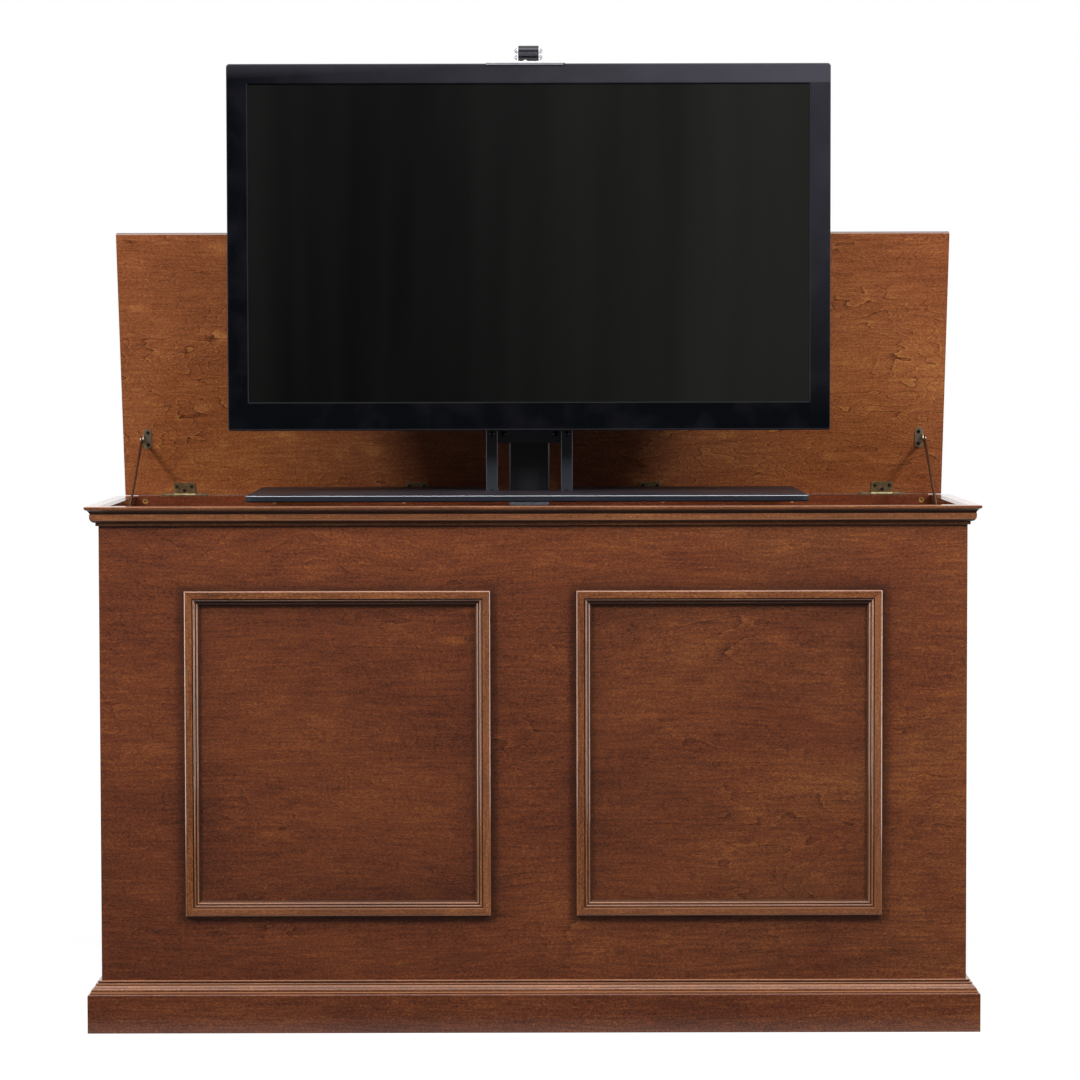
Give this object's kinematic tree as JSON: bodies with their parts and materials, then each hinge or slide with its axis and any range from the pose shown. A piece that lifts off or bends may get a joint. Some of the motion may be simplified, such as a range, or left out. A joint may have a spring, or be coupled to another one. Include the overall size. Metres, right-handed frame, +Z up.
{
  "type": "tv lift cabinet",
  "caption": "Wooden low cabinet with a hinged lid on sliding stays, and a flat television that rises out of it on a telescopic lift with its own shelf.",
  "frame": {"origin": "on the floor, at the middle of the whole object's box in X and Y", "axes": "+X to the right seen from the front, +Y towards the back, +Z up"},
  "size_m": [1.626, 0.5538, 1.807],
  "materials": {
    "case_wood": "satin lacquered cherry-coloured veneer with horizontal grain",
    "moulding_wood": "satin lacquered hardwood mouldings",
    "plinth_wood": "satin lacquered hardwood",
    "lid_wood": "satin lacquered veneer with a flame figure",
    "inside_wood": "satin stained plywood",
    "brass_hardware": "antique satin brass",
    "stay_brass": "antique satin brass",
    "column_paint": "dark grey powder coat",
    "rail_paint": "grey powder coat",
    "bolt_steel": "bright plated steel",
    "glide_plastic": "natural nylon",
    "motor_paint": "black paint",
    "control_plastic": "textured black plastic",
    "shelf_gloss": "glossy black laminate",
    "bezel_plastic": "satin blue-black moulded plastic",
    "cover_plastic": "fine textured black plastic",
    "screen_glass": "dark anti-glare screen, switched off",
    "opener_aluminium": "satin aluminium",
    "roller_rubber": "smooth grey rubber"
  },
  "bodies": {
    "cabinet": {"front_panel": "case_wood", "side_panel_left": "case_wood", "side_panel_right": "case_wood", "back_panel_upper": "inside_wood", "back_panel_lower": "inside_wood", "back_panel_screws": "brass_hardware", "bottom_panel": "inside_wood", "rear_top_rail": "inside_wood", "rail_bolts": "brass_hardware", "corner_blocks": "inside_wood", "cornice_front": "moulding_wood", "cornice_left": "moulding_wood", "cornice_right": "moulding_wood", "plinth_front": "plinth_wood", "plinth_left": "plinth_wood", "plinth_right": "plinth_wood", "plinth_back": "inside_wood", "plinth_centre_rail": "inside_wood", "base_cap_front": "moulding_wood", "base_cap_left": "moulding_wood", "base_cap_right": "moulding_wood", "panel_moulding_left": "moulding_wood", "panel_moulding_right": "moulding_wood", "hinge_rail_leaves": "brass_hardware", "hinge_pins": "brass_hardware", "rail_screws": "brass_hardware", "stay_tracks": "stay_brass", "lift_base_plate": "column_paint", "lift_base_bolts": "bolt_steel", "lift_outer_column": "column_paint", "lift_motor": "motor_paint", "lift_brace": "column_paint", "lift_control_box": "control_plastic"},
    "lid": {"lid_panel": "lid_wood", "hinge_lid_leaves": "brass_hardware", "lid_screws": "brass_hardware", "stay_lid_plates": "stay_brass"},
    "stay_arm_left": {"stay_arm_left": "stay_brass"},
    "stay_arm_right": {"stay_arm_right": "stay_brass"},
    "mid_stage": {"lift_mid_column": "column_paint", "lift_mid_glide": "glide_plastic"},
    "carriage": {"lift_mast": "column_paint", "lift_mast_glide": "glide_plastic", "mast_head": "column_paint", "upper_crossbar": "column_paint", "lower_crossbar": "rail_paint", "carriage_bolts": "bolt_steel", "tv_rail_left": "rail_paint", "tv_rail_right": "rail_paint", "vesa_plate": "column_paint", "vesa_screws": "bolt_steel", "tv_shelf": "shelf_gloss", "tv_bezel": "bezel_plastic", "tv_screen": "screen_glass", "tv_back_cover": "cover_plastic", "lid_opener_bracket": "opener_aluminium", "lid_opener_axles": "bolt_steel"},
    "roller_front": {"lid_opener_roller_front": "roller_rubber"},
    "roller_rear": {"lid_opener_roller_rear": "roller_rubber"}
  },
  "joints": [
    {"name": "lift_slide", "type": "slide", "parent": "cabinet", "child": "carriage", "axis": [0, 0, 1], "range_m": [-0.86, 0]},
    {"name": "lid_hinge", "type": "hinge", "parent": "cabinet", "child": "lid", "pos_m": [0, 0.25711, 0.9612], "axis": [-1, 0, 0], "range_deg": [-5, 0]},
    {"name": "mid_slide", "type": "slide", "parent": "cabinet", "child": "mid_stage", "axis": [0, 0, 1], "range_m": [-0.43, 0]},
    {"name": "stay_left_hinge", "type": "hinge", "parent": "lid", "child": "stay_arm_left", "pos_m": [-0.759, 0.22045, 1.06943], "axis": [-1, 0, 0], "range_deg": [0, 6]},
    {"name": "stay_right_hinge", "type": "hinge", "parent": "lid", "child": "stay_arm_right", "pos_m": [0.759, 0.22045, 1.06943], "axis": [-1, 0, 0], "range_deg": [0, 6]},
    {"name": "roller_front_spin", "type": "hinge", "parent": "carriage", "child": "roller_front", "pos_m": [-0.007, -0.04839, 1.79725], "axis": [1, 0, 0], "continuous": true},
    {"name": "roller_rear_spin", "type": "hinge", "parent": "carriage", "child": "roller_rear", "pos_m": [-0.007, -0.02839, 1.78655], "axis": [1, 0, 0], "continuous": true}
  ],
  "couplings": [
    {"joint": "mid_slide", "follows": "lift_slide", "ratio": 0.5},
    {"joint": "stay_left_hinge", "follows": "lid_hinge", "ratio": -1.1668},
    {"joint": "stay_right_hinge", "follows": "lid_hinge", "ratio": -1.1668}
  ]
}
